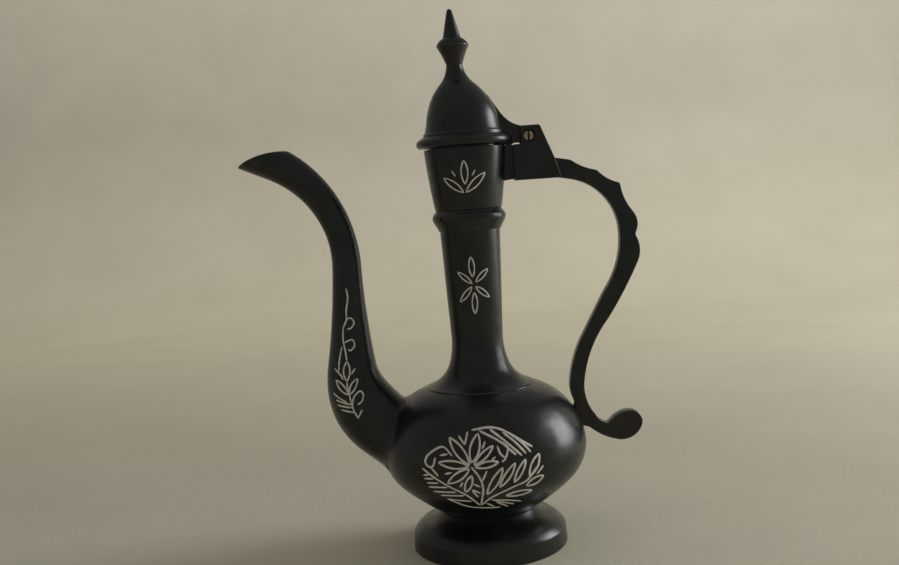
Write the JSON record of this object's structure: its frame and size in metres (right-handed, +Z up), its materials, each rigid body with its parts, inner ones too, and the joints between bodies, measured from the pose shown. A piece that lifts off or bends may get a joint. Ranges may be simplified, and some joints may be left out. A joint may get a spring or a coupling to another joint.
{
  "type": "surahi",
  "caption": "Tall black-lacquered metal ewer with a round bowl on a spun foot, narrow neck, hinged domed lid, S-shaped spout and a scrolled flat handle.",
  "frame": {"origin": "centre of the foot's standing circle, on the surface that the ewer stands on", "axes": "+Z up along the axis of the bowl and neck, +X towards the handle, -X towards the spout, -Y the engraved front"},
  "size_m": [0.1861, 0.0974, 0.254],
  "materials": {
    "black_lacquer": "satin, slightly mottled, engraved with bright line ornament",
    "screw_brass": "worn, satin"
  },
  "bodies": {
    "vessel": {"foot": "black_lacquer", "bowl": "black_lacquer", "neck": "black_lacquer", "collar_ring": "black_lacquer", "mouth_cup": "black_lacquer", "spout": "black_lacquer", "handle": "black_lacquer", "hinge_screw": "screw_brass"},
    "lid": {"lid": "black_lacquer", "finial": "black_lacquer"}
  },
  "joints": [
    {"name": "lid_hinge", "type": "hinge", "parent": "vessel", "child": "lid", "pos_m": [0.0299, 0, 0.1932], "axis": [0, 1, 0], "range_deg": [0, 95]}
  ]
}
